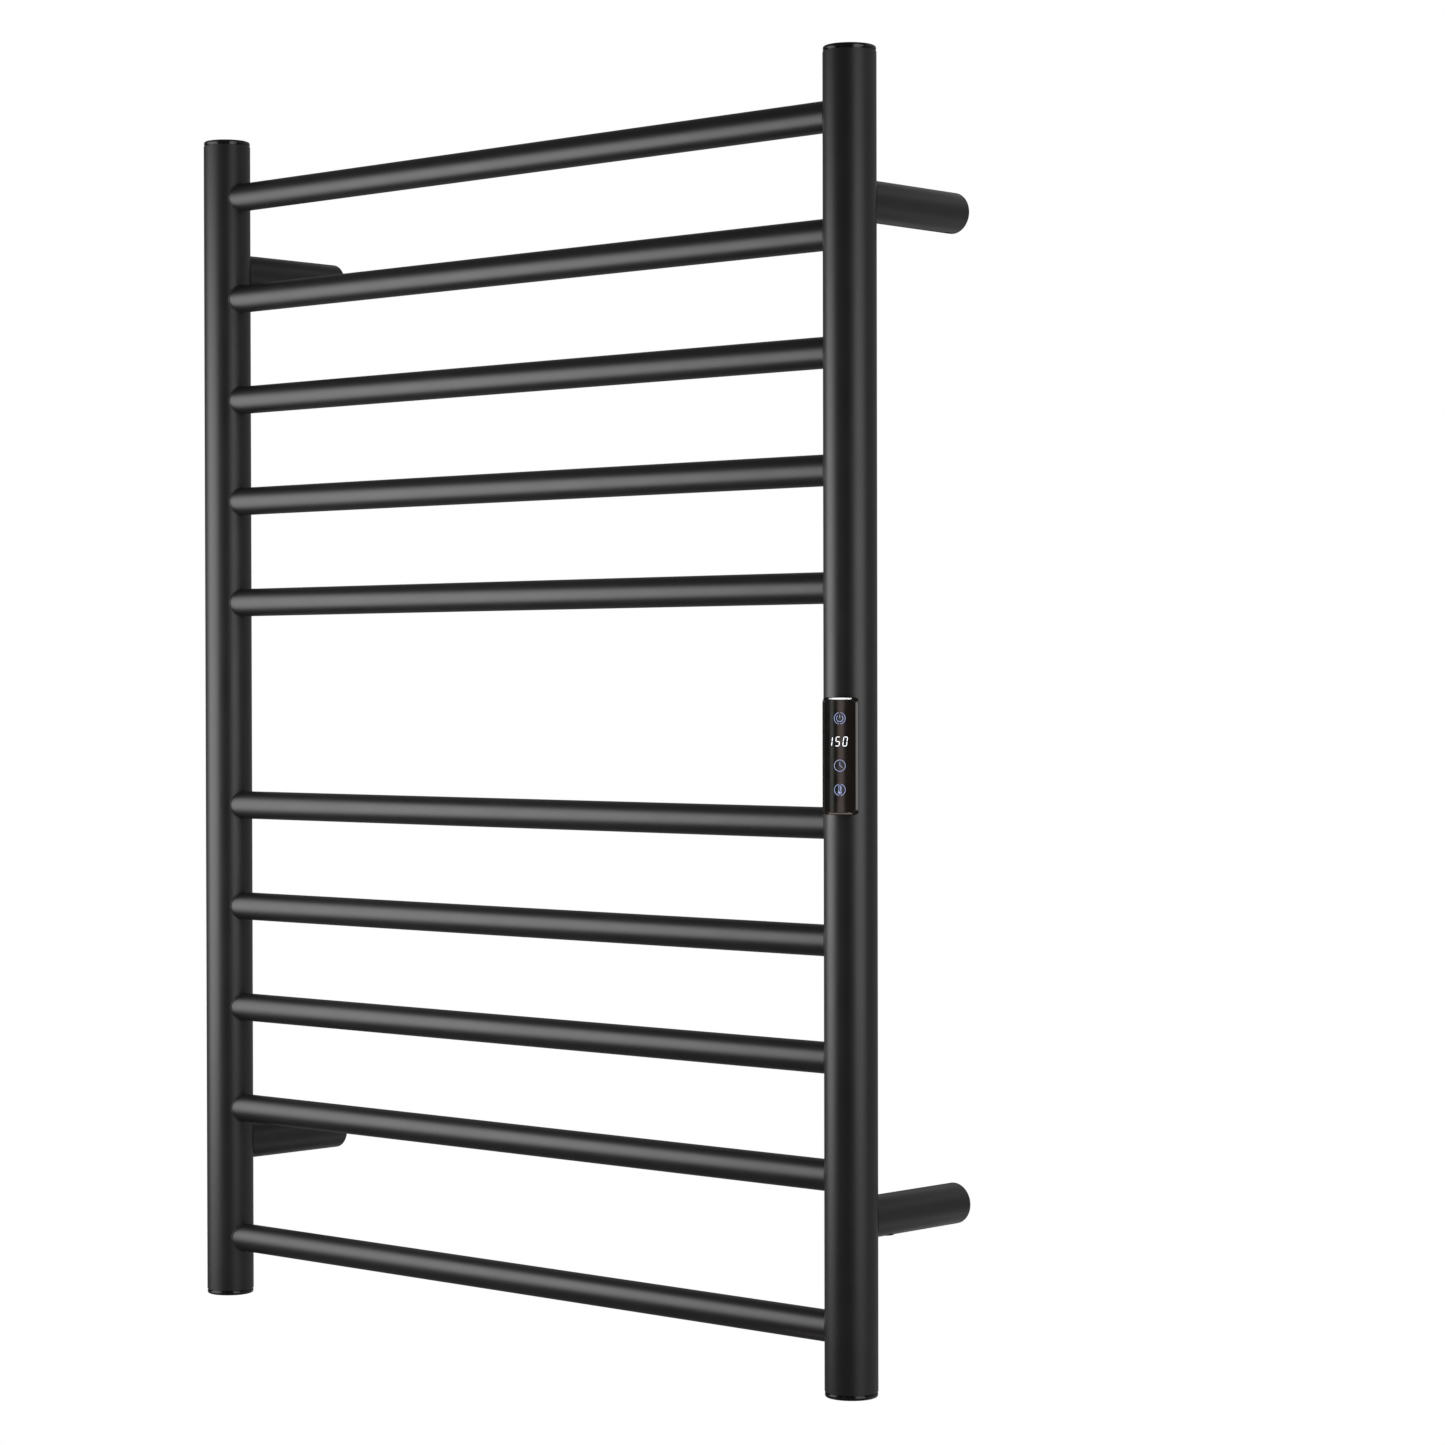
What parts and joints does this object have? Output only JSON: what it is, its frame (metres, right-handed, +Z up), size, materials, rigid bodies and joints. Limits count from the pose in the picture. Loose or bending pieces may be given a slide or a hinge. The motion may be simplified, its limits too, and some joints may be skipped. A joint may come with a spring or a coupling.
{
  "type": "towel warmer rack",
  "caption": "Black electric ladder rack with round heated bars between two posts, held off the wall by adjustable sleeves, with a slim touch control on the right post.",
  "frame": {"origin": "wall plane, at the centre of the four wall screw holes", "axes": "+X to the right seen from the room, +Y into the wall, +Z up; the bars' front faces -Y"},
  "size_m": [0.6019, 0.1221, 0.8],
  "materials": {
    "black_paint": "satin black paint over steel",
    "gloss_cap": "gloss black moulding",
    "touch_glass": "gloss black touch lens",
    "black_housing": "fine matt moulding",
    "zinc_base": "turned and zinc plated",
    "zinc_steel": "zinc plated",
    "dark_steel": "black oxide",
    "tinned_copper": "tinned",
    "black_rubber": "moulded rubber",
    "foam_tape": "foam tape",
    "cable_silicone": "silicone jacket",
    "lead_jacket": "smooth jacket",
    "white_nylon": "moulded nylon",
    "green_nylon": "moulded nylon",
    "circuit_board": "solder resist",
    "shield_can": "stamped shield",
    "display_body": "cast display block",
    "lamp_light": "lit icon",
    "blue_case": "moulded case",
    "black_case": "moulded case",
    "film_case": "dipped case"
  },
  "bodies": {
    "wall_mounts": {"wall_base_lower_left": "zinc_base", "wall_base_lower_right": "zinc_base", "wall_base_upper_left": "zinc_base", "wall_base_upper_right": "zinc_base"},
    "rack": {"left_post": "black_paint", "right_post": "black_paint", "bar_01": "black_paint", "bar_02": "black_paint", "bar_03": "black_paint", "bar_04": "black_paint", "bar_05": "black_paint", "bar_06": "black_paint", "bar_07": "black_paint", "bar_08": "black_paint", "bar_09": "black_paint", "bar_10": "black_paint", "sleeve_lower_left": "black_paint", "sleeve_lower_right": "black_paint", "sleeve_upper_left": "black_paint", "sleeve_upper_right": "black_paint", "top_cap_left": "gloss_cap", "bottom_cap_left": "gloss_cap", "top_cap_right": "gloss_cap", "bottom_cap_right": "gloss_cap", "touch_lens": "touch_glass", "control_housing": "black_housing", "sleeve_screws": "zinc_steel", "rivet_nuts": "zinc_steel", "grub_screws": "dark_steel", "control_screws": "zinc_steel", "earth_ring": "tinned_copper", "heating_crimps": "tinned_copper", "cord_bushing": "black_rubber", "control_gasket": "black_rubber", "lens_adhesive": "foam_tape", "heating_cable": "cable_silicone", "cold_tails": "cable_silicone", "supply_lead": "lead_jacket", "terminal_block": "white_nylon", "board_terminals": "green_nylon", "board_carrier": "black_housing", "control_board": "circuit_board", "power_board": "circuit_board", "wireless_module": "shield_can", "display_module": "display_body", "key_lamps": "lamp_light", "touch_springs": "tinned_copper", "board_link": "black_housing", "relay": "blue_case", "transformer": "black_case", "capacitor": "film_case", "board_fuse": "white_nylon", "temperature_sensor": "black_case"}
  },
  "joints": [
    {"name": "rack_slide", "type": "slide", "parent": "wall_mounts", "child": "rack", "axis": [0, -1, 0], "range_m": [0, 0.012]}
  ]
}
